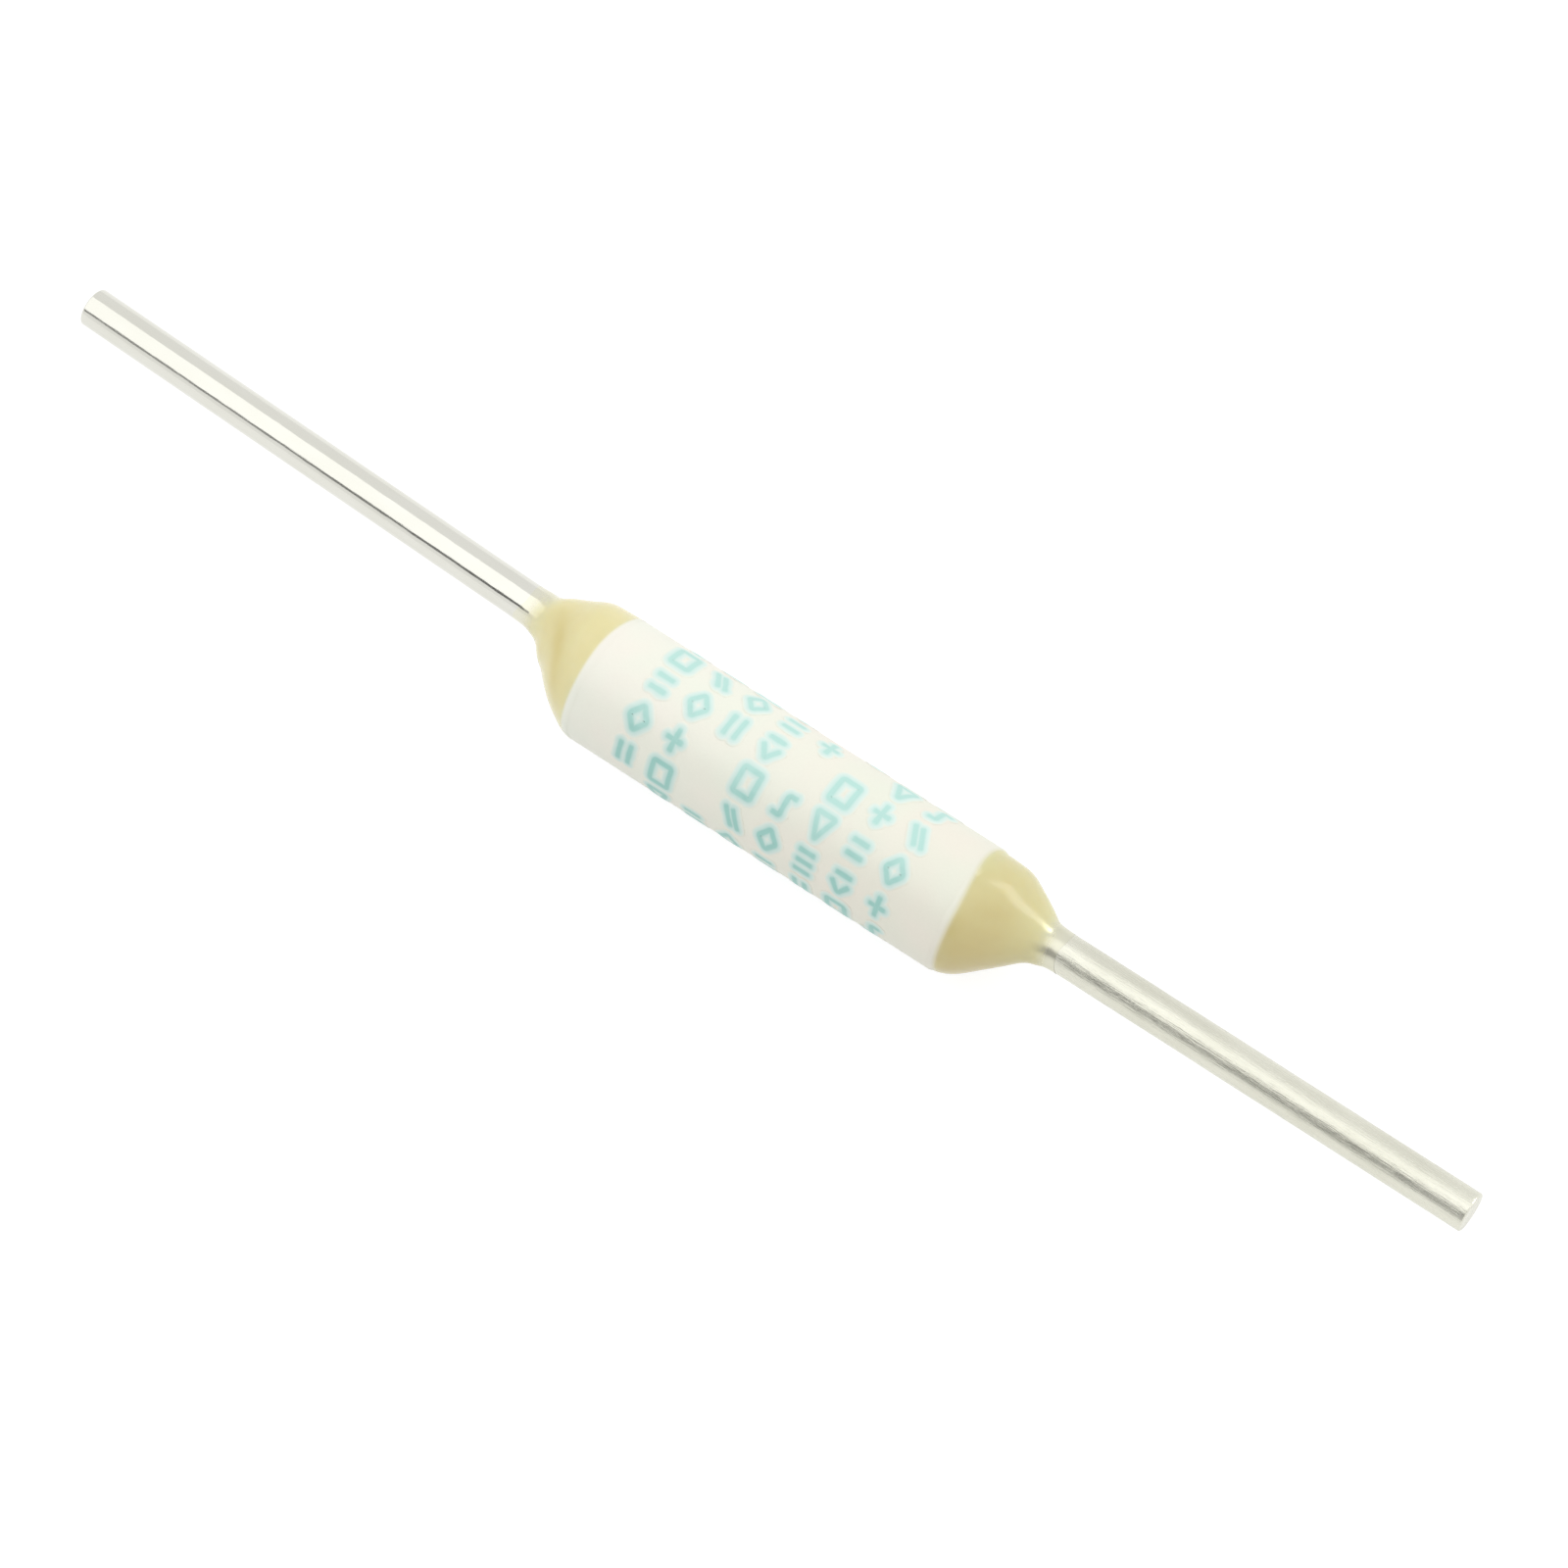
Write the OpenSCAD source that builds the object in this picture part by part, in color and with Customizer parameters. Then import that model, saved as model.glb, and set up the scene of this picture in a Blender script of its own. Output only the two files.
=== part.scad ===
// Thermal fuse with axial leads: a ceramic tube holds a fusible alloy link in
// flux between two tinned copper wires, and poured resin closes both ends.
// +X runs along the tube to the right-hand wire, +Z is up, and the origin is
// the middle of the tube. All sizes are in millimetres and degrees.

/* [Ceramic tube] */
// Length of the tube
tube_length = 8.45; // [7:0.05:12]
// Outside diameter of the tube
tube_diameter = 2.6; // [2.5:0.05:3.4]
// Thickness of the tube's wall
tube_wall = 0.4; // [0.3:0.01:0.45]
// Rounding of the outer edge at each end of the tube
tube_edge = 0.15; // [0.08:0.01:0.2]
// Rounding of the bore's edge at each end of the tube
bore_edge = 0.06; // [0.02:0.01:0.08]

/* [Wires] */
// Diameter of the tinned wire
wire_diameter = 0.8; // [0.6:0.05:0.85]
// How far the left wire reaches past the tube's end
left_wire_reach = 12.7; // [8:0.1:40]
// How far the right wire reaches past the tube's end
right_wire_reach = 10.7; // [8:0.05:40]
// Sideways offset of the left wire where it leaves the resin
left_wire_offset = 0.44; // [0.25:0.01:0.5]
// Sideways offset of the right wire where it leaves the resin
right_wire_offset = 0.31; // [0.25:0.01:0.5]
// Lean of the left wire away from the tube's axis
left_wire_lean = 1.75; // [0:0.05:2.5]
// Lean of the right wire away from the tube's axis
right_wire_lean = 0; // [0:0.05:2.5]
// How deep in the resin each wire's slight bend lies
bend_depth = 0.35; // [0.3:0.01:0.6]

/* [Resin seals] */
// Length of the left seal outside the tube
left_seal_length = 1.69; // [1.3:0.01:2.2]
// Length of the right seal outside the tube
right_seal_length = 1.51; // [1.3:0.01:2.2]
// Fullness of the left seal: a higher value carries its shoulder further out
left_seal_fullness = 1.13; // [1:0.01:1.8]
// Fullness of the right seal
right_seal_fullness = 1.21; // [1:0.01:1.8]
// Straightness of the left seal's slope: 0 is a smooth wave and 1 a cone
left_seal_straightness = 0.58; // [0:0.01:0.8]
// Straightness of the right seal's slope
right_seal_straightness = 0.54; // [0:0.01:0.8]
// How early the left seal leans over to its wire
left_seal_drift = 1.4; // [1:0.1:3]
// How early the right seal leans over to its wire
right_seal_drift = 2.5; // [1:0.1:3]
// How far the left seal stands in from the tube's outer wall where the tube ends
left_seal_inset = 0.01; // [0:0.01:0.08]
// The same for the right seal
right_seal_inset = 0.04; // [0:0.01:0.08]
// Depth of the resin inside the bore
seal_depth = 0.9; // [0.5:0.05:1.2]
// Thickness of the resin's feathered edge on the wire
seal_feather = 0.03; // [0.02:0.005:0.06]

/* [Fusible link] */
// Gap between the two wires' inner ends
link_gap = 3.2; // [2.4:0.1:4]
// Diameter of the alloy between its beads
link_diameter = 0.6; // [0.4:0.05:0.8]
// Thickness of the alloy bead around each wire's end
bead_wall = 0.15; // [0.08:0.01:0.2]
// Length of the flux in the bore
flux_length = 4.6; // [4:0.1:5]

/* [Print] */
// Spacing of the printed marks along the tube
mark_pitch = 0.81; // [0.75:0.01:0.9]
// Width of a mark, along the tube
mark_width = 0.5; // [0.4:0.01:0.6]
// Height of a mark, around the tube
mark_height = 0.62; // [0.5:0.01:0.68]
// Width of a printed stroke
mark_stroke = 0.11; // [0.06:0.01:0.14]
// Thickness of the ink
ink_thickness = 0.02; // [0.015:0.005:0.03]
// Angle between rows of marks
row_angle = 35; // [34:0.5:40]
// Direction that the middle row faces, from +Y towards +Z
print_facing = 121; // [0:1:359]
// Shift of the print along the tube
print_shift = 0.04; // [-0.4:0.01:0.4]
// Slant of the rows: they wind round the tube by this much off its length
print_slant = 1.7; // [0:0.1:3]
// Bare band at each end of the print
print_margin = 0.75; // [0.7:0.05:1]

/* [Hidden] */
$fn = 48;
LEFT = 0;
RIGHT = 1;
tube_r = tube_diameter / 2;
bore_r = tube_r - tube_wall;
tube_end = tube_length / 2;
wire_r = wire_diameter / 2;
bead_r = wire_r + bead_wall;
// A bend swells the wire by a hair
bend_r = wire_r + 0.03;
// The same value for each end, left first
wire_reach = [left_wire_reach, right_wire_reach];
wire_offset = [left_wire_offset, right_wire_offset];
wire_lean = [left_wire_lean, right_wire_lean];
seal_length = [left_seal_length, right_seal_length];
seal_fullness = [left_seal_fullness, right_seal_fullness];
seal_straightness = [left_seal_straightness, right_seal_straightness];
seal_drift = [left_seal_drift, right_seal_drift];
seal_inset = [left_seal_inset, right_seal_inset];
// Colours
ceramic_white = [0.95, 0.94, 0.91];
ink_teal = [0.34, 0.67, 0.66];
resin_pale = [0.89, 0.84, 0.62];
resin_tan = [0.78, 0.70, 0.46];
tinned = [0.76, 0.75, 0.71];
alloy_grey = [0.62, 0.62, 0.63];
flux_amber = [0.80, 0.60, 0.28];

// Draws its children pointing out of one end of the tube, as if that end were +X
module at_end(end) {
    if (end == LEFT) mirror([1, 0, 0]) children();
    else children();
}

// A cylinder along X from one place to another
module rod(r, from, to) {
    translate([from, 0, 0]) rotate([0, 90, 0]) cylinder(r = r, h = to - from);
}

// ---------------------------------------------------------------- the tube

module ceramic_tube() {
    color(ceramic_white) rotate([0, 90, 0]) rotate_extrude() difference() {
        translate([bore_r, -tube_end]) square([tube_wall, tube_length]);
        for (side = [-1, 1]) scale([1, side]) {
            edge_cut([tube_r, tube_end], tube_edge, 1);
            edge_cut([bore_r, tube_end], bore_edge, -1);
        }
    }
}

// The sliver that a rounding of radius r takes off a corner of the tube's section
module edge_cut(corner, r, outwards) {
    spare = 0.1;
    translate(corner) scale([outwards, 1]) difference() {
        translate([-r, -r]) square(r + spare);
        translate([-r, -r]) circle(r);
    }
}

// --------------------------------------------------------------- the wires

// Where a wire leaves the resin, and its distance off the tube's axis at x
function exit_x(end) = tube_end + seal_length[end];
function wire_y(end, x) = wire_offset[end] + (x - exit_x(end)) * tan(wire_lean[end]);

// A wire runs straight out of the resin. Inside the resin it bends towards the
// middle of the bore, where its inner end meets the link.
module wire(end) {
    bend_x = exit_x(end) - bend_depth;
    bend_y = wire_y(end, bend_x);
    inner_run = bend_x - link_gap / 2;
    outer_length = (tube_end + wire_reach[end] - bend_x) / cos(wire_lean[end]);
    translate([bend_x, bend_y, 0]) {
        rotate(wire_lean[end]) rod(wire_r, 0, outer_length);
        sphere(bend_r);
        rotate(atan2(bend_y, inner_run)) rod(wire_r, -norm([inner_run, bend_y]), 0);
    }
}

module lead_wire_left() {
    color(tinned) at_end(LEFT) wire(LEFT);
}

module lead_wire_right() {
    color(tinned) at_end(RIGHT) wire(RIGHT);
}

// --------------------------------------------------------- the resin seals

seal_rings = 16;
seal_sides = 48;
// The skin starts a little way down the tube's rounded edge
skin_start = tube_end - tube_edge / 2;
skin_start_r = tube_r - tube_edge / 5;

// How far the skin has closed in, from 0 at the tube to 1 at the wire
function closed_in(end, t) = let (
    u = pow(t, seal_fullness[end]),
    k = seal_straightness[end]
) (1 - k) * (1 - cos(180 * u)) / 2 + k * u;

// A circle of points across the tube, its middle off the axis by y
function ring(x, y, r) = [for (k = [0 : seal_sides - 1])
    let (a = 360 * (k + 0.5) / seal_sides) [x, y + r * cos(a), r * sin(a)]];

// The circle of skin at a share t of the seal's length: its middle drifts from
// the tube's axis to the wire's while its radius falls to the feathered edge
function skin_ring(end, t) = let (
    c = closed_in(end, t),
    x = tube_end + t * seal_length[end],
    rim_r = tube_r - seal_inset[end]
) ring(x, wire_y(end, x) * (1 - pow(1 - c, seal_drift[end])),
    rim_r + (wire_r + seal_feather - rim_r) * c);

// A solid through rings of points, closed by a flat face at each end
module skin(rings) {
    n = len(rings[0]);
    last = (len(rings) - 1) * n;
    walls = [for (i = [0 : len(rings) - 2], k = [0 : n - 1])
        let (a = i * n + k, b = i * n + (k + 1) % n) each [[a, a + n, b], [b, a + n, b + n]]];
    polyhedron(
        points = [for (ring = rings) each ring],
        faces = concat(walls,
            [[for (k = [0 : n - 1]) k], [for (k = [n - 1 : -1 : 0]) last + k]])
    );
}

module seal(end) {
    base = ring(skin_start, 0, skin_start_r);
    difference() {
        union() {
            difference() {
                skin([base, for (i = [0 : seal_rings]) skin_ring(end, i / seal_rings)]);
                ceramic_tube();
            }
            rod(bore_r, tube_end - seal_depth, tube_end + tube_edge);
        }
        wire(end);
    }
}

module end_seal_left() {
    color(resin_pale) at_end(LEFT) seal(LEFT);
}

module end_seal_right() {
    color(resin_tan) at_end(RIGHT) seal(RIGHT);
}

// ------------------------------------------------------- the link and flux

module link() {
    rod(link_diameter / 2, -link_gap / 2, link_gap / 2);
    for (side = [-1, 1]) translate([side * link_gap / 2, 0, 0]) sphere(bead_r);
}

module wires() {
    for (end = [LEFT, RIGHT]) at_end(end) wire(end);
}

module fusible_alloy() {
    color(alloy_grey) difference() {
        link();
        wires();
    }
}

module flux_fill() {
    color(flux_amber) difference() {
        rod(bore_r, -flux_length / 2, flux_length / 2);
        link();
        wires();
    }
}

// --------------------------------------------------------------- the print

// Each mark is a list of lines through points on a grid that runs from -1 to 1
// along and around the tube
GAP = [];
FRAME = [[[-1, -1], [1, -1], [1, 1], [-1, 1], [-1, -1]]];
DIAMOND = [[[-1, 0], [0, -1], [1, 0], [0, 1], [-1, 0]]];
TENT = [[[-1, -1], [1, -1], [0, 1], [-1, -1]]];
BARS = [[[-1, -0.55], [1, -0.55]], [[-1, 0.55], [1, 0.55]]];
POSTS = [[[-0.6, -1], [-0.6, 1]], [[0.6, -1], [0.6, 1]]];
PLUS = [[[-1, 0], [1, 0]], [[0, -1], [0, 1]]];
ARROWS = [[[-1, -0.2], [0, 0.9], [1, -0.2]], [[-1, -0.9], [1, -0.9]]];
LADDER = [[[-1, -0.9], [1, -0.9]], [[-1, 0], [1, 0]], [[-1, 0.9], [1, 0.9]]];
SLOPES = [[[-1, -0.9], [0.2, 0.9]], [[-0.2, -0.9], [1, 0.9]]];
STEP = [[[-1, 0.8], [0, 0.8], [0, -0.8], [1, -0.8]]];
ROWS = [
    [TENT, BARS, FRAME, PLUS, GAP, DIAMOND, POSTS, LADDER],
    [FRAME, SLOPES, DIAMOND, BARS, PLUS, GAP, TENT, STEP],
    [BARS, DIAMOND, POSTS, ARROWS, GAP, FRAME, PLUS, SLOPES],
    [DIAMOND, PLUS, GAP, FRAME, STEP, TENT, BARS, DIAMOND],
    [POSTS, FRAME, GAP, SLOPES, DIAMOND, LADDER, ARROWS, PLUS],
    [GAP, TENT, LADDER, DIAMOND, BARS, POSTS, FRAME, STEP],
    [SLOPES, PLUS, DIAMOND, GAP, FRAME, BARS, STEP, TENT]
];

mark_count = floor((tube_length - 2 * print_margin) / mark_pitch);
grid_step = [(mark_width - mark_stroke) / 2, (mark_height - mark_stroke) / 2];

module stroke(a, b) {
    run = b - a;
    translate((a + b) / 2) rotate(atan2(run.y, run.x))
        square([norm(run) + mark_stroke, mark_stroke], center = true);
}

module mark(lines) {
    for (line = lines, i = [0 : len(line) - 2]) stroke(
        [line[i].x * grid_step.x, line[i].y * grid_step.y],
        [line[i + 1].x * grid_step.x, line[i + 1].y * grid_step.y]);
}

// A place along the tube for a column of marks, and the way that a mark there
// faces in a row
function column_x(column) = print_shift + (column - (mark_count - 1) / 2) * mark_pitch;
function mark_facing(row, x) = print_facing + (row - (len(ROWS) - 1) / 2) * row_angle
    - x * tan(print_slant) / tube_r * 180 / PI;

module printed_marks() {
    color(ink_teal) intersection() {
        difference() {
            rod(tube_r + ink_thickness, -tube_end, tube_end);
            rod(tube_r, -tube_length, tube_length);
        }
        for (row = [0 : len(ROWS) - 1], column = [0 : mark_count - 1]) let (x = column_x(column))
            rotate([mark_facing(row, x) - 90, 0, 0]) translate([x, 0, tube_r / 2])
                linear_extrude(tube_r) mark(ROWS[row][column % len(ROWS[row])]);
    }
}

ceramic_tube();
printed_marks();
end_seal_left();
end_seal_right();
lead_wire_left();
lead_wire_right();
fusible_alloy();
flux_fill();
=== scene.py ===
import math

import bpy
import numpy as np
from mathutils import Matrix, Vector


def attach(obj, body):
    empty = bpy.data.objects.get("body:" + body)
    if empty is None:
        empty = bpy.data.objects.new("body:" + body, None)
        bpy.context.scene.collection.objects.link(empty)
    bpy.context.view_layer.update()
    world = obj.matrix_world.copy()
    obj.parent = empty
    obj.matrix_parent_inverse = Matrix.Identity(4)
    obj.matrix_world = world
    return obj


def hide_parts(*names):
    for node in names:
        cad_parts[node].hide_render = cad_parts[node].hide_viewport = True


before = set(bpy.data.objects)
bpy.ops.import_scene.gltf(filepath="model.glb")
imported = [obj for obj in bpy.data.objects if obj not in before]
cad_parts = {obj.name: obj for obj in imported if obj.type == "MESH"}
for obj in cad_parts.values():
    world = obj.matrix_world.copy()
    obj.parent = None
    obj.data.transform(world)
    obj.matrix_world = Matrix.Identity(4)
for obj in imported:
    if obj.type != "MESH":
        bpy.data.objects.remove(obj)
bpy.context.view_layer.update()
MM = 0.001

# ---------------------------------------------------------------- camera and studio
# The fuse lies on a white table under a wide soft box. A long lens looks down on it from
# the front right. A flag in front gives the wires their dark line, and a strip lamp behind
# gives the resin its streak of gloss.

AZIMUTH, ELEVATION, DISTANCE = math.radians(35.5), math.radians(63.6), 120 * MM
AIM = Vector((-0.11494, 0.1271, 0.04847)) * MM
LENS_LENGTH, SENSOR_WIDTH = 148.5, 36

scene = bpy.context.scene
scene.view_settings.view_transform = "Standard"

toward_camera = Vector((
    math.sin(AZIMUTH) * math.cos(ELEVATION),
    -math.cos(AZIMUTH) * math.cos(ELEVATION),
    math.sin(ELEVATION),
))
lens = bpy.data.cameras.new("camera")
lens.lens, lens.sensor_width = LENS_LENGTH, SENSOR_WIDTH
lens.clip_start, lens.clip_end = 5 * MM, 10
camera = bpy.data.objects.new("camera", lens)
camera.location = AIM + toward_camera * DISTANCE
camera.rotation_mode = "QUATERNION"
camera.rotation_quaternion = (-toward_camera).to_track_quat("-Z", "Y")
scene.collection.objects.link(camera)
scene.camera = camera


def node(tree, kind, inputs=None, **settings):
    """Adds a shader node. `settings` are its properties; `inputs` gives sockets, by name or
    number, a plain value or another node's output."""
    made = tree.nodes.new("ShaderNode" + kind)
    for name, value in settings.items():
        setattr(made, name, value)
    for name, value in (inputs or {}).items():
        if isinstance(value, bpy.types.NodeSocket):
            tree.links.new(value, made.inputs[name])
        else:
            made.inputs[name].default_value = value
    return made


def between(tree, value, low, high, start=0.0, finish=1.0):
    """A number that runs from low to high as value runs from start to finish."""
    return node(tree, "MapRange", {"Value": value, "From Min": start, "From Max": finish,
                                   "To Min": low, "To Max": high}).outputs[0]


def tint(tree, share, stops):
    """A colour that passes through the stops, (share, colour), as share runs from 0 to 1."""
    ramp = node(tree, "ValToRGB", {0: share})
    elements = ramp.color_ramp.elements
    for spot, colour in stops[1:-1]:
        elements.new(spot).color = (*colour, 1)
    for element, (spot, colour) in ((elements[0], stops[0]), (elements[-1], stops[-1])):
        element.position, element.color = spot, (*colour, 1)
    return ramp.outputs[0]


def greys(*stops):
    """Stops of a colour from stops of grey, (share, grey)."""
    return [(spot, (grey, grey, grey)) for spot, grey in stops]


def seen_directly(tree):
    """1 for what the camera sees, straight or through a reflection or glass, else 0."""
    path = node(tree, "LightPath").outputs
    reflected = node(tree, "Math", {0: path["Is Glossy Ray"], 1: path["Is Transmission Ray"]},
                     operation="MAXIMUM").outputs[0]
    return node(tree, "Math", {0: path["Is Camera Ray"], 1: reflected},
                operation="MAXIMUM").outputs[0]


# The room is white to the eye. As a light it is a little brighter in front of the fuse (-Y)
# than behind it, and changes from one to the other over most of the sky.
FRONT_LIGHT, BACK_LIGHT, SKY_SPAN = 0.91, 0.68, 0.8
world = bpy.data.worlds.new("room")
world.use_nodes = True
scene.world = world
room = world.node_tree
room.nodes.clear()
direction = node(room, "SeparateXYZ", {0: node(room, "TexCoord").outputs["Generated"]})
ambient = between(room, direction.outputs["Y"], FRONT_LIGHT, BACK_LIGHT, -SKY_SPAN, SKY_SPAN)
brightness = between(room, seen_directly(room), ambient, 1.0)
sky = node(room, "Background", {"Color": (1, 1, 1, 1), "Strength": brightness})
node(room, "OutputWorld", {0: sky.outputs[0]})


def lamp(name, place, size, along, radiance):
    """A flat lamp at `place` that faces the fuse, with its long side turned `along`. Its power
    is radiance x area x pi."""
    light = bpy.data.lights.new(name, "AREA")
    light.shape = "RECTANGLE"
    light.size, light.size_y = size
    light.energy = radiance * size[0] * size[1] * math.pi
    back, along = Vector(place).normalized(), Vector(along)
    side = (along - along.dot(back) * back).normalized()
    made = bpy.data.objects.new(name, light)
    made.matrix_world = Matrix.Translation(place) @ Matrix(
        (side, back.cross(side), back)).transposed().to_4x4()
    made.visible_camera = False
    scene.collection.objects.link(made)


lamp("soft_box", place=(-0.11, -0.075, 0.25), size=(0.6, 0.42), along=(1, 0, 0), radiance=0.43)
lamp("strip_lamp", place=(0.116, 0.109, 0.105), size=(0.17, 0.055), along=(0.3, -0.18, -0.2),
     radiance=3.3)


def stage_sheet(name, corners, material):
    """One flat face through the corners, as part of the studio."""
    mesh = bpy.data.meshes.new(name)
    mesh.from_pydata(corners, [], [tuple(range(len(corners)))])
    mesh.materials.append(material)
    sheet = bpy.data.objects.new(name, mesh)
    scene.collection.objects.link(sheet)
    return sheet


def new_material(name):
    """An empty material and its node tree."""
    material = bpy.data.materials.new(name)
    material.use_nodes = True
    material.node_tree.nodes.clear()
    return material, material.node_tree


# The table, right under the tube, takes the fuse's shadow, thinned so that the white stays
# clean
TABLE_Z, TABLE_HALF = -1.3 * MM, 1.0
PAPER, THIN_PAPER, GLOW = 0.8, 0.28, 0.84
table_white, tree = new_material("table_white")
paper = node(tree, "BsdfDiffuse", {"Color": (PAPER, PAPER, PAPER, 1)})
thin_paper = node(tree, "BsdfDiffuse", {"Color": (THIN_PAPER, THIN_PAPER, THIN_PAPER, 1)})
glow = node(tree, "Emission", {"Color": (1, 1, 1, 1), "Strength": GLOW})
lit = node(tree, "AddShader", {0: thin_paper.outputs[0], 1: glow.outputs[0]})
shown = node(tree, "MixShader", {0: seen_directly(tree), 1: paper.outputs[0], 2: lit.outputs[0]})
node(tree, "OutputMaterial", {"Surface": shown.outputs[0]})
stage_sheet("table", [(x * TABLE_HALF, y * TABLE_HALF, TABLE_Z)
                      for x, y in ((-1, -1), (1, -1), (1, 1), (-1, 1))], table_white)

# The flag is narrow and dark on the left, tall and paler on the right, so the left wire's
# line is thin and dark and the right wire's is broad and grey. Its outline is x, z in mm,
# and its shades run from FLAG_FADE to the middle.
FLAG_Y, FLAG_FADE = -100, -60
FLAG_OUTLINE = [(-110, 36), (-61, 36), (-46, 37), (-38, 44), (-28, 22), (85, 13), (85, 135),
                (-20, 135), (-38, 90), (-46, 72), (-61, 62), (-110, 62)]
FLAG_SHADES = greys((0.0, 0.42), (0.33, 0.07), (0.45, 0.07), (0.7, 0.55), (1.0, 0.42))
flag_grey, tree = new_material("flag_grey")
spot = node(tree, "SeparateXYZ", {0: node(tree, "TexCoord").outputs["Object"]}).outputs["X"]
cloth = tint(tree, between(tree, spot, 0.0, 1.0, FLAG_FADE * MM, 0.0), FLAG_SHADES)
node(tree, "OutputMaterial", {"Surface": node(tree, "BsdfDiffuse", {"Color": cloth}).outputs[0]})
flag = stage_sheet("flag", [(x * MM, FLAG_Y * MM, z * MM) for x, z in FLAG_OUTLINE], flag_grey)
flag.visible_camera = False

# ---------------------------------------------------------------- ceramic tube
# A short tube of extruded and fired alumina with rounded ends. It is off-white and
# satin, with faint cream, rose and green clouds and a fine fired grain.

TUBE_R, TUBE_END, TUBE_EDGE, BORE_R = 1.3, 4.225, 0.15, 0.9
CERAMIC_CLOUDS = [(0.0, (0.88, 0.91, 0.80)), (0.5, (0.90, 0.902, 0.80)),
                  (1.0, (0.92, 0.89, 0.80))]
# The colour of a speck and how much of it a full speck shows, and the colour that the
# ceramic is multiplied by at its right end
SPECK_COLOUR, SPECK_SHARE, RIGHT_TINT = (0.7, 0.66, 0.58, 1), 0.05, (0.945, 0.935, 0.91, 1)


def new_group(name, given, result):
    """A node group with named sockets: its tree, the inputs it is given and its results."""
    group = bpy.data.node_groups.new(name, "ShaderNodeTree")
    for way, sockets in (("INPUT", given), ("OUTPUT", result)):
        for title, kind in sockets.items():
            group.interface.new_socket(title, in_out=way, socket_type="NodeSocket" + kind)
    return (group, group.nodes.new("NodeGroupInput").outputs,
            group.nodes.new("NodeGroupOutput").inputs)


def grain_group():
    """Broad soft clouds and fine specks, both from 0 to 1, at a place on the piece."""
    group, given, result = new_group(
        "grain", {"Place": "Vector", "Cloud scale": "Float", "Speck scale": "Float"},
        {"Clouds": "Float", "Specks": "Float"})
    for number, (scale, detail) in enumerate((("Cloud scale", 2.0), ("Speck scale", 4.0))):
        noise = node(group, "TexNoise", {"Vector": given["Place"], "Scale": given[scale],
                                         "Detail": detail, "Roughness": 0.55})
        spread = between(group, noise.outputs[0], 0.0, 1.0, start=0.3, finish=0.7)
        group.links.new(spread, result[number])
    return group


GRAIN = grain_group()


def on_piece(tree):
    """The place on the piece, in its own metres."""
    return node(tree, "TexCoord").outputs["Object"]


def grain(tree, cloud_size, speck_size, stretch=(1, 1, 1), place=None):
    """The grain group's clouds and specks, sizes in mm, drawn out along an axis by a stretch
    below 1."""
    place = node(tree, "Mapping", {"Vector": place or on_piece(tree), "Scale": stretch})
    return node(tree, "Group", {
        "Place": place.outputs[0], "Cloud scale": 1 / (cloud_size * MM),
        "Speck scale": 1 / (speck_size * MM)}, node_tree=GRAIN).outputs


def mixed(tree, share, first, second, way="MIX"):
    """Two colours blended by share."""
    return node(tree, "Mix", {0: share, 6: first, 7: second}, data_type="RGBA",
                blend_type=way).outputs[2]


def relief(tree, height, depth, strength):
    """A bump from a height of 0 to 1 that stands `depth` millimetres proud."""
    return node(tree, "Bump", {"Height": height, "Distance": depth * MM,
                               "Strength": strength}).outputs[0]


def ceramic_white_group():
    """The ceramic's white: clouded, specked, and a little darker and warmer to the right."""
    group, given, result = new_group("ceramic_white", {"Place": "Vector"},
                                     {"Colour": "Color", "Specks": "Float"})
    clouds, specks = grain(group, cloud_size=1.5, speck_size=0.05, place=given["Place"])
    body = tint(group, clouds, CERAMIC_CLOUDS)
    body = mixed(group, between(group, specks, 0.0, SPECK_SHARE), body, SPECK_COLOUR)
    along = node(group, "SeparateXYZ", {0: given["Place"]}).outputs["X"]
    to_right = between(group, along, 0.0, 1.0, -TUBE_END * MM, TUBE_END * MM)
    body = mixed(group, to_right, body, RIGHT_TINT, "MULTIPLY")
    group.links.new(body, result["Colour"])
    group.links.new(specks, result["Specks"])
    return group


CERAMIC_WHITE = ceramic_white_group()


def ceramic_white(tree):
    """The ceramic white's colour and specks on a piece."""
    return node(tree, "Group", {"Place": on_piece(tree)}, node_tree=CERAMIC_WHITE).outputs


ceramic, tree = new_material("ceramic")
body_white, specks = ceramic_white(tree)
shader = node(tree, "BsdfPrincipled", {
    "Base Color": body_white, "Roughness": between(tree, specks, 0.38, 0.5),
    "Normal": relief(tree, specks, depth=0.002, strength=0.5), "IOR": 1.5})
node(tree, "OutputMaterial", {"Surface": shader.outputs[0]})
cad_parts["ceramic_tube"].material_slots[0].material = ceramic

# ---------------------------------------------------------------- printed marks
# Rows of plain marks in teal ink, rolled on round the tube. Each stroke is a film of ink,
# fullest along its middle, that bleeds out to a pale aqua edge on the ceramic.

MARK_PITCH, MARK_WIDTH, MARK_HEIGHT, MARK_DRIFT = 0.81, 0.5, 0.62, 0.008
# The angle round the tube of the middle row and from row to row, the print's shift along the
# tube, and its slant
PRINT_FACING, ROW_ANGLE, PRINT_SHIFT, PRINT_SLANT = 121, 35, 0.04, 1.7
# A stroke's width, how far its ink bleeds to each side and how unevenly, and how far the
# film stands over the ceramic and reaches under it
STROKE, BLEED, BLEED_WANDER, INK_OVER, INK_UNDER = 0.11, 0.17, 0.1, 0.0108, 0.0036
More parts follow.
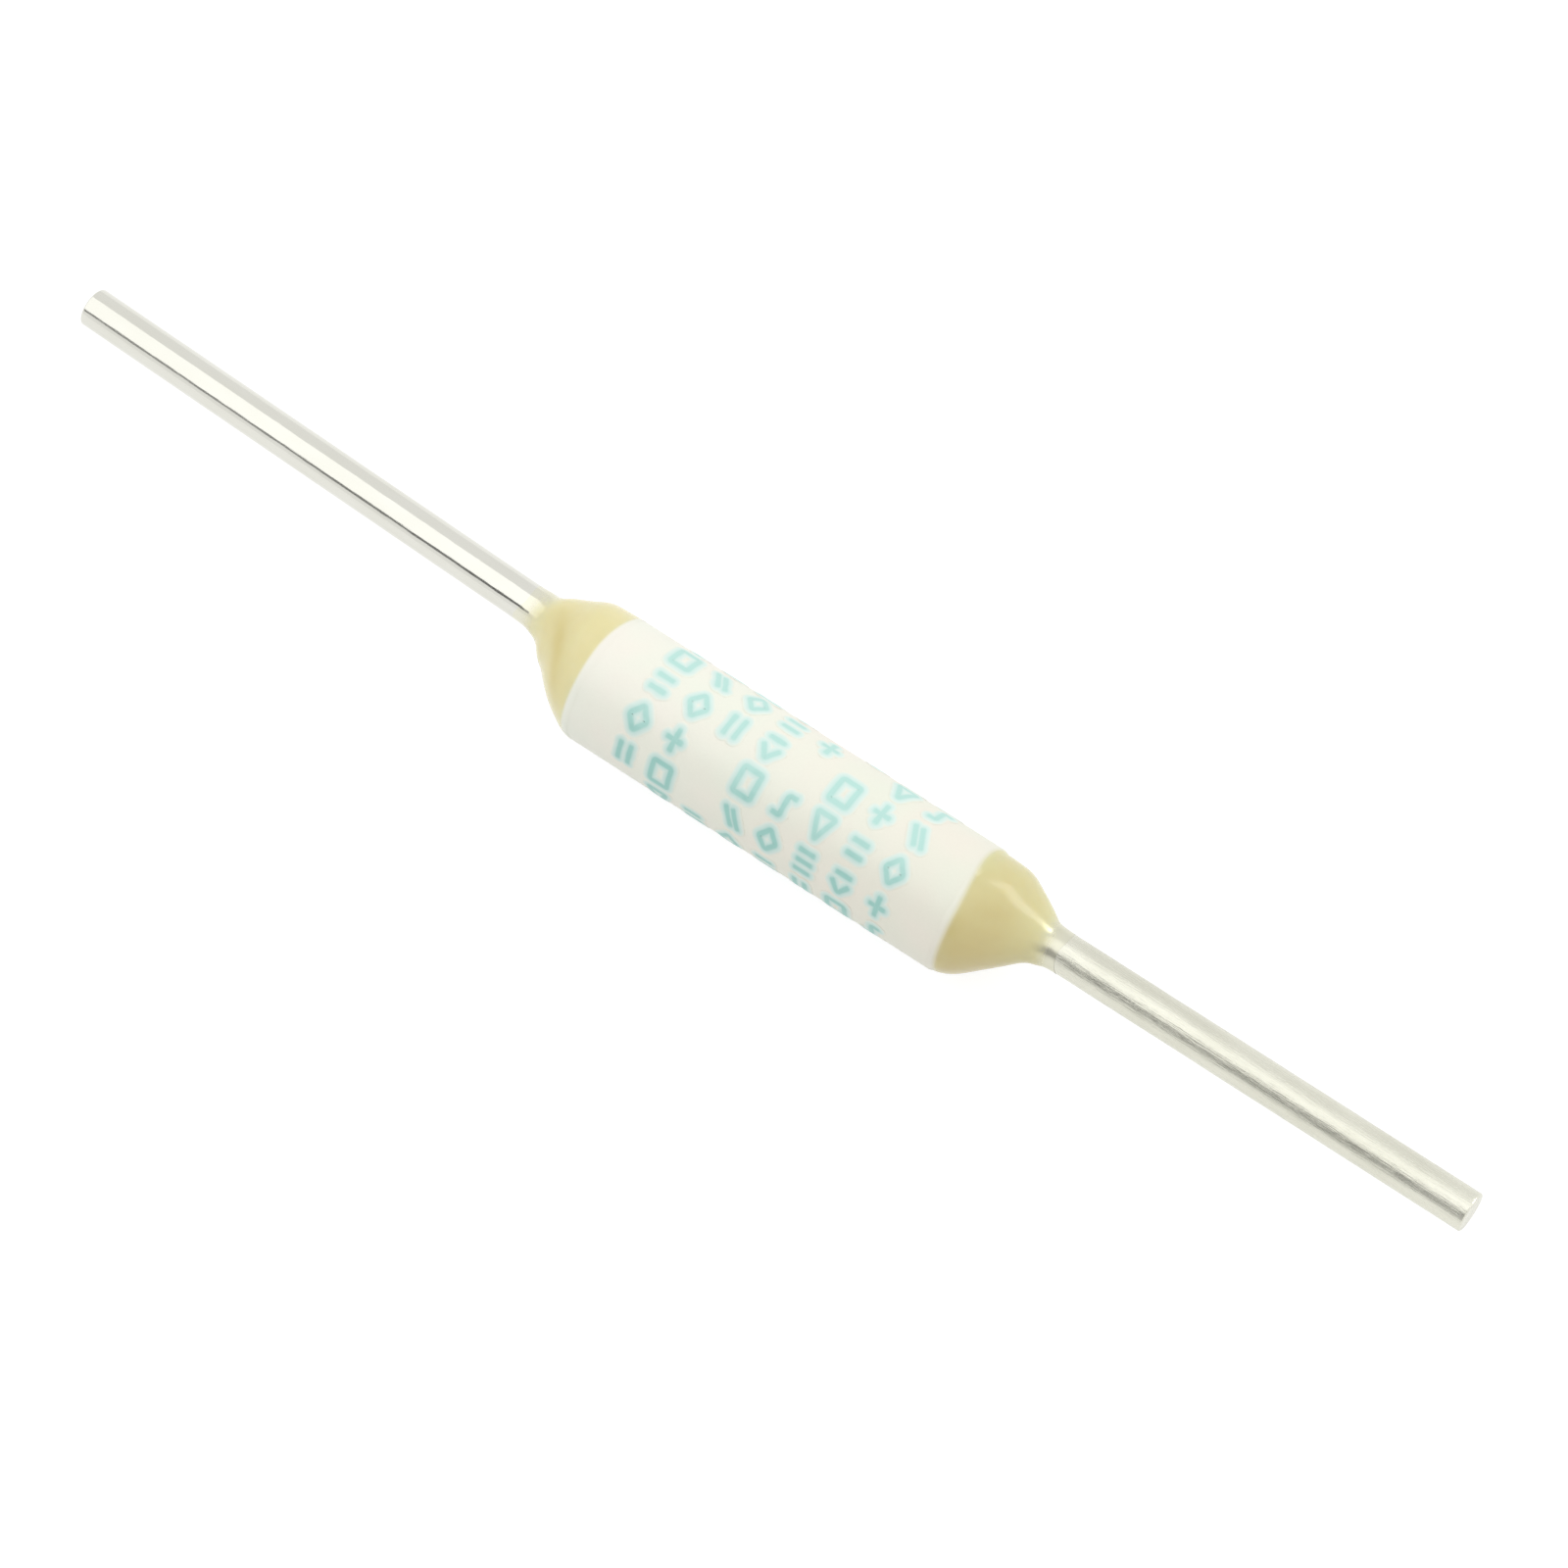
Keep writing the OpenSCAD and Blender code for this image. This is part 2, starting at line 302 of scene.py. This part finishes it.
# The ink is at its full colour beyond this angle round the tube; over this many degrees before
# it it is painted paler, a painted highlight on the upper rows, a little more or less from
# stroke to stroke
PALING_STOPS, PALING_OVER, PALING_DRIFT = 144, 45, 0.15
INK_CORE = [(0.0, (0.35, 0.645, 0.585)), (1.0, (0.49, 0.765, 0.70))]
INK_BLED = [(0.45, (0.79, 0.90, 0.85)), (1.0, (0.86, 0.9, 0.825))]
INK_SPREAD = greys((0.2, 0.0), (0.42, 0.55), (1.0, 1.0))
# Each mark as its strokes, lines of corners from -1 to 1 across it and up it
MARKS = {
    "gap": [],
    "frame": [[(-1, -1), (1, -1), (1, 1), (-1, 1), (-1, -1)]],
    "diamond": [[(-1, 0), (0, -1), (1, 0), (0, 1), (-1, 0)]],
    "tent": [[(-1, -1), (1, -1), (0, 1), (-1, -1)]],
    "bars": [[(-1, -0.55), (1, -0.55)], [(-1, 0.55), (1, 0.55)]],
    "posts": [[(-0.6, -1), (-0.6, 1)], [(0.6, -1), (0.6, 1)]],
    "plus": [[(-1, 0), (1, 0)], [(0, -1), (0, 1)]],
    "arrow": [[(-1, -0.2), (0, 0.9), (1, -0.2)], [(-1, -0.9), (1, -0.9)]],
    "ladder": [[(-1, -0.9), (1, -0.9)], [(-1, 0), (1, 0)], [(-1, 0.9), (1, 0.9)]],
    "slopes": [[(-1, -0.9), (0.2, 0.9)], [(-0.2, -0.9), (1, 0.9)]],
    "step": [[(-1, 0.8), (0, 0.8), (0, -0.8), (1, -0.8)]],
}
PRINT = [
    "tent bars frame plus gap diamond posts ladder",
    "frame slopes diamond bars plus gap tent step",
    "bars diamond posts arrow gap frame plus slopes",
    "diamond plus gap frame step tent bars diamond",
    "posts frame gap slopes diamond ladder arrow plus",
    "gap tent ladder diamond bars posts frame step",
    "slopes plus diamond gap frame bars step tent",
]


def ripple(along, around, shortest, longest, most_turns, seed, waves=12, gain=2.5):
    """A gentle random relief from about -1 to 1: the mean of the cosine waves times the gain.
    Each wave has its own wavelength along the piece, whole number of turns round it and
    phase."""
    draw = np.random.default_rng(seed)
    pitch = draw.uniform(1 / longest, 1 / shortest, waves)
    turns = draw.integers(-most_turns, most_turns + 1, waves)
    phase = draw.uniform(0, 2 * np.pi, waves)
    along, around = np.broadcast_arrays(along, around)
    heights = np.cos(2 * np.pi * pitch * along[..., None] + turns * around[..., None] + phase)
    return heights.mean(-1) * gain


def joined(rings, loop=False):
    """Faces through a grid of points, one row for each ring. A flat cap closes the first and
    last ring, unless the rings run in a loop."""
    count, sides = rings.shape[:2]
    index = np.arange(count * sides).reshape(count, sides)
    here = index if loop else index[:-1]
    after = np.roll(index, -1, axis=0) if loop else index[1:]
    faces = np.stack([here, np.roll(here, -1, axis=1), np.roll(after, -1, axis=1), after], -1)
    faces = faces.reshape(-1, 4).tolist()
    if not loop:
        faces += [index[0, ::-1].tolist(), index[-1].tolist()]
    return faces


def piece(name, points, faces, material, replaced, values=None, sharp_from=50):
    """A smooth piece of the fuse from points in mm, with named values at its points. An edge
    that turns by `sharp_from` degrees or more stays sharp."""
    mesh = bpy.data.meshes.new(name)
    mesh.from_pydata((points.reshape(-1, 3) * MM).tolist(), [], faces)
    mesh.shade_smooth()
    mesh.set_sharp_from_angle(angle=math.radians(sharp_from))
    mesh.materials.append(material)
    for title, numbers in (values or {}).items():
        layer = mesh.attributes.new(title, "FLOAT", "POINT")
        layer.data.foreach_set("value", np.ascontiguousarray(numbers.ravel(), np.float32))
    made = bpy.data.objects.new(name, mesh)
    scene.collection.objects.link(made)
    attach(made, "root")
    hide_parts(replaced)


def rounded_line(corners, step=0.012, reach=4, fewest=8):
    """Points every `step` mm along a line of corners, each then averaged with its neighbours up
    to `reach` away, so that the corners turn smoothly. A line that ends where it began runs
    in a loop; an open line first grows at both ends by the ink's bleed."""
    corners = np.array(corners, float)
    loop = np.allclose(corners[0], corners[-1])
    if not loop:
        first, last = corners[0] - corners[1], corners[-1] - corners[-2]
        corners[0] += first / np.linalg.norm(first) * (BLEED - STROKE / 2)
        corners[-1] += last / np.linalg.norm(last) * (BLEED - STROKE / 2)
    runs = np.linalg.norm(np.diff(corners, axis=0), axis=1)
    gone = np.concatenate([[0], np.cumsum(runs)])
    at = np.linspace(0, gone[-1], max(int(gone[-1] / step), fewest), endpoint=not loop)
    line = np.stack([np.interp(at, gone, corners[:, axis]) for axis in (0, 1)], -1)
    if loop:
        padded = np.concatenate([line[-reach:], line, line[:reach]])
    else:
        before = 2 * line[0] - line[reach:0:-1]
        beyond = 2 * line[-1] - line[-2:-reach - 2:-1]
        padded = np.concatenate([before, line, beyond])
    window = np.ones(2 * reach + 1) / (2 * reach + 1)
    line = np.stack([np.convolve(padded[:, axis], window, "valid") for axis in (0, 1)], -1)
    return line, loop


def ink_stroke(corners, seed, sides=16):
    """A film of ink along a line on the unrolled tube. Its section at each point is
    (cos a, sin a) times the bleed's width and the ink's thickness, laid across the line;
    both shrink as a quarter circle at an open end. Returns (along, across, height) rings,
    the share of the way out from the stroke's middle, and whether it is a loop."""
    line, loop = rounded_line(corners)
    if loop:
        ahead = np.roll(line, -1, axis=0) - np.roll(line, 1, axis=0)
    else:
        ahead = np.gradient(line, axis=0)
    ahead /= np.linalg.norm(ahead, axis=1, keepdims=True)
    aside = np.stack([-ahead[:, 1], ahead[:, 0]], -1)
    step = np.linalg.norm(line[1] - line[0])
    run = np.arange(len(line)) * step
    past = np.zeros(len(line))
    if not loop:
        past = np.clip(1 - (np.minimum(run, run[::-1]) + step / 4) / BLEED, 0, 1)
    taper = np.sqrt(1 - past ** 2)[:, None]
    turn = np.linspace(0, 2 * np.pi, sides, endpoint=False) + np.pi / sides
    wander = ripple(0 if loop else run, 0, shortest=0.25, longest=1.0, most_turns=0,
                    seed=seed) + 0 * run
    across = np.cos(turn) * BLEED * (1 + BLEED_WANDER * wander[:, None]) * taper
    proud = np.where(np.sin(turn) > 0, INK_OVER, INK_UNDER) * np.sin(turn)
    flat = line[:, None] + aside[:, None] * across[..., None]
    edge = np.hypot(past[:, None], np.cos(turn) * taper)
    return np.concatenate([flat, (proud * taper)[..., None]], -1), edge, loop


half_mark = (np.array([MARK_WIDTH, MARK_HEIGHT]) - STROKE) / 2
points, faces, edges, highlight_palings, placed = [], [], [], [], 0
for row, names in enumerate(PRINT):
    facing = math.radians(PRINT_FACING + (row - (len(PRINT) - 1) / 2) * ROW_ANGLE)
    names = names.split()
    for column, name in enumerate(names):
        middle = PRINT_SHIFT + (column - (len(names) - 1) / 2) * MARK_PITCH
        turned = facing - middle * math.tan(math.radians(PRINT_SLANT)) / TUBE_R
        for number, corners in enumerate(MARKS[name]):
            draw = np.random.default_rng([row, column, number])
            drift = draw.uniform(-MARK_DRIFT, MARK_DRIFT, 2)
            rings, edge, loop = ink_stroke(
                np.array(corners) * half_mark + drift, seed=[row, column, number, 7])
            angle = turned + np.arcsin(rings[..., 1] / TUBE_R)
            radius = TUBE_R + rings[..., 2]
            points.append(np.stack([middle + rings[..., 0], radius * np.cos(angle),
                                    radius * np.sin(angle)], -1).reshape(-1, 3))
            edges.append(edge.ravel())
            # Painted highlight: the ink pales on the rows before the given angle, the upper rows
            highlight_palings.append((PALING_STOPS - np.degrees(angle.ravel())) / PALING_OVER
                          + draw.uniform(-PALING_DRIFT, PALING_DRIFT))
            faces += [[corner + placed for corner in face] for face in joined(rings, loop)]
            placed += len(points[-1])

ink, tree = new_material("ink")
clouds, specks = grain(tree, cloud_size=0.35, speck_size=0.03)
edge, highlight_paling = (node(tree, "Attribute", attribute_name=title).outputs["Fac"]
               for title in ("edge", "highlight_paling"))
# The ink's colour: paler on the upper rows, a painted highlight, and patchy at random
paling_and_patches = node(tree, "Math", {0: highlight_paling, 1: between(tree, clouds, -0.3, 0.3)}, operation="ADD",
              use_clamp=True).outputs[0]
core, bled = tint(tree, paling_and_patches, INK_CORE), tint(tree, edge, INK_BLED)
# The bleed's outermost rim has the ceramic's own white, so that no outline shows
rim = between(tree, edge, 0.0, 1.0, start=0.7, finish=1.0)
bled = mixed(tree, rim, bled, ceramic_white(tree)[0])
shader = node(tree, "BsdfPrincipled", {
    "Base Color": mixed(tree, tint(tree, edge, INK_SPREAD), core, bled),
    "Roughness": between(tree, specks, 0.42, 0.55),
    "Normal": relief(tree, specks, depth=0.001, strength=0.4)})
node(tree, "OutputMaterial", {"Surface": shader.outputs[0]})
piece("ink_print", np.concatenate(points), faces, ink, "printed_marks",
      {"edge": np.concatenate(edges), "highlight_paling": np.concatenate(highlight_palings)})

# ---------------------------------------------------------------- lead wires
# Tinned copper wires. Each runs into the tube through the resin, where it bends a
# little to reach the middle of the bore. The left one is smooth and bright; the right
# one was tinned thickly and is satin, with soft waves and streaks along it.

# The two ends: values in pairs are for the left one and the right one
LEFT, RIGHT = 0, 1
# Room between two surfaces that touch
SLACK = 0.001
WIRE_R, WIRE_ROUNDING, LINK_GAP = 0.4, 0.04, 3.2
WIRE_REACH, WIRE_OFFSET, WIRE_LEAN = (12.7, 10.7), (0.44, 0.31), (1.75, 0.0)
WIRE_WAVE = (0.0006, 0.0022)
# The seals' lengths past the tube, how deep in its seal a wire bends, and how far to each
# side of there the bend reaches
SEAL_LENGTH, BEND_DEPTH, BEND_EASE = (1.69, 1.51), 0.35, 0.25
# The angles of the points round a wire or a seal, and of those over a wire's rounded end
AROUND = np.linspace(0, 2 * np.pi, 96, endpoint=False)[None, :]
ROUNDING = np.linspace(0, np.pi / 2, 6)


def wire_line(end, x):
    """Distance of the wire from the tube's axis at x, and its slope: two straight runs that
    meet at the bend, joined over the ease to each side of it by a parabola."""
    lean = math.tan(math.radians(WIRE_LEAN[end]))
    bend = TUBE_END + SEAL_LENGTH[end] - BEND_DEPTH
    height = WIRE_OFFSET[end] - BEND_DEPTH * lean
    change = height / (bend - LINK_GAP / 2) - lean
    past = x - bend
    left = np.clip(BEND_EASE - past, 0, None)
    dip = np.where(past < -BEND_EASE, past, -left ** 2 / (4 * BEND_EASE))
    slope = np.where(past < -BEND_EASE, 1, left / (2 * BEND_EASE))
    return height + lean * past + change * dip, lean + change * slope


def wire_rings(end, x, radius):
    """Rings of the given radius round the wire's line, square to it, seen as if the wire's end
    of the tube were +X."""
    y, slope = wire_line(end, x)
    turn = np.arctan(slope)
    off = radius * np.cos(AROUND)
    return np.stack([x - off * np.sin(turn), y + off * np.cos(turn),
                     radius * np.sin(AROUND) + 0 * x], -1)


def outwards(end, rings):
    """Rings made for the +X end, moved to their own end with their faces still outwards."""
    return rings if end == RIGHT else (rings * np.array([-1, 1, 1]))[:, ::-1]


def tinned(name, rough, depth, low, high):
    """Tin plating over copper: a metal with fine lines `depth` mm proud drawn along the wire,
    a roughness within `rough`, and a colour from low to high."""
    material, tree = new_material(name)
    clouds, specks = grain(tree, cloud_size=0.08, speck_size=0.02, stretch=(0.06, 1, 1))
    broad, _ = grain(tree, cloud_size=0.5, speck_size=0.1, stretch=(0.3, 1, 1))
    lines = node(tree, "Math", {0: clouds, 1: specks}, operation="ADD").outputs[0]
    shader = node(tree, "BsdfPrincipled", {
        "Base Color": tint(tree, broad, [(0.0, low), (1.0, high)]), "Metallic": 1.0,
        "Roughness": between(tree, specks, *rough),
        "Normal": relief(tree, lines, depth, strength=0.6)})
    node(tree, "OutputMaterial", {"Surface": shader.outputs[0]})
    return material


bright_tin = tinned("bright_tin", rough=(0.07, 0.12), depth=0.0004,
                    low=(0.69, 0.685, 0.62), high=(0.72, 0.715, 0.66))
satin_tin = tinned("satin_tin", rough=(0.2, 0.34), depth=0.004,
                   low=(0.66, 0.655, 0.56), high=(0.73, 0.725, 0.63))
for end, name, metal in ((LEFT, "left", bright_tin), (RIGHT, "right", satin_tin)):
    start, tip = LINK_GAP / 2, TUBE_END + WIRE_REACH[end]
    run = np.linspace(start + WIRE_ROUNDING, tip - WIRE_ROUNDING, 260)
    x = np.concatenate([start + WIRE_ROUNDING * (1 - np.sin(ROUNDING[::-1])), run[1:-1],
                        tip - WIRE_ROUNDING * (1 - np.sin(ROUNDING))])[:, None]
    trim = np.concatenate([WIRE_ROUNDING * (1 - np.cos(ROUNDING[::-1])), 0 * run[1:-1],
                           WIRE_ROUNDING * (1 - np.cos(ROUNDING))])[:, None]
    wave = WIRE_WAVE[end] * ripple(x, AROUND, shortest=0.7, longest=4.0, most_turns=3,
                                   seed=20 + end)
    radius = np.minimum(WIRE_R - SLACK - trim + wave, WIRE_R)
    rings = outwards(end, wire_rings(end, x, radius))
    piece("tinned_wire_" + name, rings, joined(rings), metal,
          "lead_wire_" + name)

# ---------------------------------------------------------------- end seals
# Epoxy resin poured into each end round its wire. It fills in the tube's rounded edge,
# domes over and draws out along the wire to a thin skirt that the tin shines through.

SEAL_FULLNESS, SEAL_STRAIGHTNESS, SEAL_DRIFT = (1.13, 1.21), (0.58, 0.54), (1.4, 2.5)
# How far inside the tube's outside the skin lies at the tube's end, how much further in than
# the rounded edge and its own colour the resin starts, over what distance it leaves the
# tube's outside, and the most that it stands proud of it behind
SEAL_INSET, SEAL_LAP, SEAL_SETTLE, SEAL_PROUD = (0.01, 0.04), 0.01, 0.17, 0.017
# How deep the resin fills the bore, the flare at the bore's mouth, and how far short of the
# skin's length the wire's channel begins
SEAL_DEPTH, BORE_FLARE, CHANNEL_SHORT = 0.9, 0.06, 0.02
# The skirt past the skin's length: all round, how much more in front, and its ripple
SKIRT, SKIRT_IN_FRONT, SKIRT_RIPPLE = 0.3, 0.1, 0.04
# The film on the wire: its height at the skin's length, its ease, its height at its end, and
# the share of the whole over which it dies away
FEATHER, FILM_EASE, THIN_EDGE, FILM_DYING = 0.03, 0.04, 0.002, 0.13
# How far in from the tube's end its colour begins: all round, and how much more about one
# side, which faces the angle given; over what distance it comes in; its ripple, and the least
SEAL_EDGE, SOFT_EDGE = ((0.045, 0.09, 30), (0.06, 0.18, 55)), (0.08, 0.15)
EDGE_RIPPLE, EDGE_LEAST = 0.01, 0.01
# Where the resin stands fuller or flatter: side (1 behind, -1 in front), height, and the share
# of the length at its middle and its spread
SEAL_SWELLS = (
    ((1, 0.072, 0.33, 0.19), (1, -0.07, 0.91, 0.13), (-1, -0.048, 0.2, 0.2),
     (-1, 0.068, 0.73, 0.1), (-1, 0.015, 1.0, 0.1)),
    ((1, 0.045, 0.38, 0.17), (1, -0.035, 1.0, 0.1), (-1, 0.02, 0.65, 0.2),
     (-1, 0.03, 1.0, 0.11)),
)
# The angle round the tube that counts as behind, and how uneven the skin is
SWELL_FACING, SKIN_RIPPLE = 22, 0.012
# The thickness of resin over which its colour deepens, the thickness that counts where its
# colour begins, and the film through which the tin shows and how quickly it goes as the
# film thickens
DEEPENS_OVER, EDGE_THICK, TIN_SHOWS, TIN_GOES = 0.35, 0.02, 0.06, 1.2
# The left seal's depth of colour: the least, what thickness and a band of painted shade winding
# round it add, and what the front takes away. The right seal's: what thickness and the front
# add.
LEFT_LEAST, LEFT_THICK, LEFT_SHADE, LEFT_FRONT = 0.28, 0.1, 0.5, 0.4
RIGHT_THICK, RIGHT_FRONT = 0.45, 0.75
# The painted shade band's angle at the tube's end, how far it winds back over the length, its
# breadth, and the share of the length at its middle and its spread
SHADE_FACING, SHADE_WINDS, SHADE_BREADTH, SHADE_MIDDLE, SHADE_SPREAD = 190, 175, 22, 0.42, 0.26
# The angles at which the front begins and ends, and the degrees over which each comes in
FRONT_FROM, FRONT_RISE, FRONT_TO, FRONT_FALL = 150, 40, 330, 90


def smooth(share):
    """0 up to a share of 0, 1 from a share of 1, and 3 s^2 - 2 s^3 between."""
    share = np.clip(share, 0, 1)
    return share * share * (3 - 2 * share)


def colour_line(end):
    """How far in from the tube's end the resin's colour begins, at each angle round it."""
    least, more, facing = SEAL_EDGE[end]
    line = least + more * np.clip(np.cos(AROUND - math.radians(facing)), 0, 1) ** 4
    uneven = ripple(0 * AROUND, AROUND, shortest=1, longest=2, most_turns=4, seed=40 + end)
    return np.maximum(line + EDGE_RIPPLE * uneven, EDGE_LEAST)


def seal_rings(end):
    """The resin as a loop of rings: out over the skin, back along the wire and round the bore.
    On the skin at a share t of its length, u = t^fullness and c = (1 - k)(1 - cos(pi u)) / 2
    + k u, with k the straightness; the radius falls from the tube's to the wire's with c,
    and the middle drifts over to the wire's as 1 - (1 - c)^drift. Past t = 1 the skin runs on
    straight, and its height h over the wire is eased to (h + sqrt(h^2 + ease^2)) / 2, so it
    dies away on the wire as a thin film. On the tube it leaves the outside flush, and never
    dips below the rounded edge that it fills."""
    length, behind = SEAL_LENGTH[end], np.cos(AROUND - math.radians(SWELL_FACING))
    lap = np.maximum(colour_line(end), TUBE_EDGE) + SEAL_LAP
    uneven = ripple(0 * AROUND, AROUND, shortest=1, longest=2, most_turns=3, seed=50 + end)
    skirt = (length + SKIRT + SKIRT_IN_FRONT * np.clip(-behind, 0, 1)
             + SKIRT_RIPPLE * uneven)
    # The rings stand a little closer together on the tube
    share = np.linspace(0, 1, 72)[:, None] ** 1.1
    x = TUBE_END - lap + share * (skirt + lap)
    out = (x - TUBE_END) / length
    u, k = np.clip(out, 0, 1) ** SEAL_FULLNESS[end], SEAL_STRAIGHTNESS[end]
    c = (1 - k) * (1 - np.cos(np.pi * u)) / 2 + k * u
    past_end = k * SEAL_FULLNESS[end] * np.clip(out - 1, 0, None)
    base = TUBE_R - SEAL_INSET[end]
    skin = base + (WIRE_R + FEATHER - base) * (c + past_end)
    uneven = ripple(x, AROUND, shortest=0.8, longest=3, most_turns=3, seed=60 + end)
    swell = SKIN_RIPPLE * np.sin(np.pi * share) * uneven
    for side, height, place, spread in SEAL_SWELLS[end]:
        swell += height * np.clip(side * behind, 0, 1) * np.exp(-((out - place) / spread) ** 2)
    height = skin + swell - WIRE_R
    height = (height + np.sqrt(height ** 2 + FILM_EASE ** 2)) / 2
    skin = WIRE_R + THIN_EDGE + height * (1 - smooth((share - 1 + FILM_DYING) / FILM_DYING))
    on_edge = np.clip(x - TUBE_END + TUBE_EDGE, 0, TUBE_EDGE)
    rim = TUBE_R - TUBE_EDGE + np.sqrt(TUBE_EDGE ** 2 - on_edge ** 2)
    radius = TUBE_R + (skin - TUBE_R) * smooth((x - TUBE_END + TUBE_EDGE) / SEAL_SETTLE)
    radius = np.where(x < TUBE_END, np.maximum(radius, rim + THIN_EDGE), radius)
    middle = wire_line(end, x)[0] * (1 - (1 - c) ** SEAL_DRIFT[end])
    across = np.minimum(middle + radius * np.cos(AROUND), TUBE_R + SEAL_PROUD)
    outer = np.stack([x, across, radius * np.sin(AROUND)], -1)
    back = np.linspace(TUBE_END + length - CHANNEL_SHORT, TUBE_END - SEAL_DEPTH, 14)[:, None]
    channel = wire_rings(end, back, WIRE_R - SLACK + 0 * back)
    steps = np.array([[TUBE_END - SEAL_DEPTH, BORE_R - SLACK],
                      [TUBE_END - BORE_FLARE, BORE_R - SLACK],
                      [TUBE_END, BORE_R + BORE_FLARE],
                      [TUBE_END - SLACK, TUBE_R - TUBE_EDGE - 2 * SLACK]])
    plug = np.stack([steps[:, :1] + 0 * AROUND, steps[:, 1:] * np.cos(AROUND),
                     steps[:, 1:] * np.sin(AROUND)], -1)
    return np.concatenate([outer, channel, plug])


def seal_values(end, rings):
    """What the resin's look follows at its points. over_tin is exp(-(d / shows)^goes), with d
    the mm of resin over the wire. over_ceramic falls smoothly from 1 where the colour begins
    to 0. depth grows with 1 - exp(-d / deepens), with less d near where the colour begins. In
    the left seal it also grows in a band of painted shade, exp(-(angle off it / breadth)^2
    - (share off its middle / spread)^2), and is less in front. In the right seal it grows evenly
    from behind to the front."""
    y, _ = wire_line(end, rings[..., 0])
    over_wire = np.clip(np.hypot(rings[..., 1] - y, rings[..., 2]) - WIRE_R, 0, None)
    inward = np.clip(rings[..., 0] - TUBE_END + colour_line(end), 0, None)
    thick = 1 - np.exp(-np.minimum(over_wire, inward + EDGE_THICK) / DEEPENS_OVER)
    if end == LEFT:
        turned = np.degrees(np.arctan2(rings[..., 2], rings[..., 1])) % 360
        out = (rings[..., 0] - TUBE_END) / SEAL_LENGTH[end]
        # core: a band of painted shade that winds round the left seal
        core = np.exp(-((turned - SHADE_FACING + SHADE_WINDS * out) / SHADE_BREADTH) ** 2
                      - ((out - SHADE_MIDDLE) / SHADE_SPREAD) ** 2)
        front = (np.clip((turned - FRONT_FROM) / FRONT_RISE, 0, 1)
                 * np.clip((FRONT_TO - turned) / FRONT_FALL, 0, 1))
        depth = LEFT_LEAST + LEFT_THICK * thick + LEFT_SHADE * core - LEFT_FRONT * front
    else:
        front = np.clip(0.5 - rings[..., 1] / (2 * TUBE_R), 0, 1)
        depth = RIGHT_THICK * thick + RIGHT_FRONT * front
    return {"depth": depth, "over_tin": np.exp(-(over_wire / TIN_SHOWS) ** TIN_GOES),
            "over_ceramic": smooth(1 - inward / SOFT_EDGE[end])}


def resin(name, pale, deep, rough, tin, tin_rough):
    """Epoxy: deeper in colour where it is thick, and clear where it thins out, so that the
    ceramic and the tin show."""
    material, tree = new_material(name)
    clouds, specks = grain(tree, cloud_size=0.7, speck_size=0.15)
    depth, over_tin, over_ceramic = (
        node(tree, "Attribute", attribute_name=title).outputs["Fac"]
        for title in ("depth", "over_tin", "over_ceramic"))
    wander = node(tree, "Math", {0: depth, 1: between(tree, clouds, -0.1, 0.1)},
                  operation="ADD", use_clamp=True).outputs[0]
    colour = tint(tree, wander, [(0.0, pale), (1.0, deep)])
    colour = mixed(tree, over_ceramic, colour, ceramic_white(tree)[0])
    roughness = between(tree, over_tin, between(tree, specks, rough, rough + 0.04), tin_rough)
    shader = node(tree, "BsdfPrincipled", {
        "Base Color": mixed(tree, over_tin, colour, (*tin, 1)), "Metallic": over_tin,
        "Roughness": between(tree, over_ceramic, roughness, 0.45),
        "Subsurface Weight": between(tree, over_ceramic, 0.25, 0.0),
        "Subsurface Radius": (1.0, 0.75, 0.35), "Subsurface Scale": 0.25 * MM, "IOR": 1.5,
        "Normal": relief(tree, clouds, depth=0.006, strength=0.5)})
    node(tree, "OutputMaterial", {"Surface": shader.outputs[0]})
    return material


resin_pale = resin("resin_pale", pale=(0.84, 0.785, 0.455), deep=(0.70, 0.59, 0.23), rough=0.15,
                   tin=(0.72, 0.71, 0.6), tin_rough=0.1)
resin_tan = resin("resin_tan", pale=(0.72, 0.70, 0.39), deep=(0.63, 0.53, 0.24), rough=0.18,
                  tin=(0.68, 0.67, 0.55), tin_rough=0.3)
for end, name, material, slot in ((LEFT, "left", resin_pale, "resin_pale"),
                                  (RIGHT, "right", resin_tan, "resin_tan")):
    rings = seal_rings(end)
    values = seal_values(end, rings)
    if end == LEFT:
        values = {title: numbers[:, ::-1] for title, numbers in values.items()}
    rings = outwards(end, rings)
    piece("resin_seal_" + name, rings, joined(rings, loop=True), material,
          "end_seal_" + name, values)

# ---------------------------------------------------------------- link and flux
# Inside the tube a link of low-melting alloy joins the wires' ends, soldered to each
# in a bead, and waxy amber flux fills the bore round it.

alloy, tree = new_material("fusible_alloy")
clouds, specks = grain(tree, cloud_size=0.3, speck_size=0.03)
shader = node(tree, "BsdfPrincipled", {
    "Base Color": tint(tree, clouds, [(0.0, (0.40, 0.40, 0.41)), (1.0, (0.58, 0.57, 0.55))]),
    "Metallic": 1.0, "Roughness": between(tree, specks, 0.3, 0.5),
    "Normal": relief(tree, specks, depth=0.002, strength=0.5)})
node(tree, "OutputMaterial", {"Surface": shader.outputs[0]})
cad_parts["fusible_alloy"].material_slots[0].material = alloy

flux, tree = new_material("flux")
clouds, specks = grain(tree, cloud_size=0.6, speck_size=0.05)
shader = node(tree, "BsdfPrincipled", {
    "Base Color": tint(tree, clouds, [(0.0, (0.52, 0.28, 0.06)), (1.0, (0.72, 0.46, 0.13))]),
    "Roughness": between(tree, specks, 0.25, 0.4), "Subsurface Weight": 0.3,
    "Subsurface Radius": (1.0, 0.5, 0.2), "Subsurface Scale": 0.3 * MM,
    "Normal": relief(tree, clouds, depth=0.004, strength=0.5)})
node(tree, "OutputMaterial", {"Surface": shader.outputs[0]})
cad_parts["flux_fill"].material_slots[0].material = flux
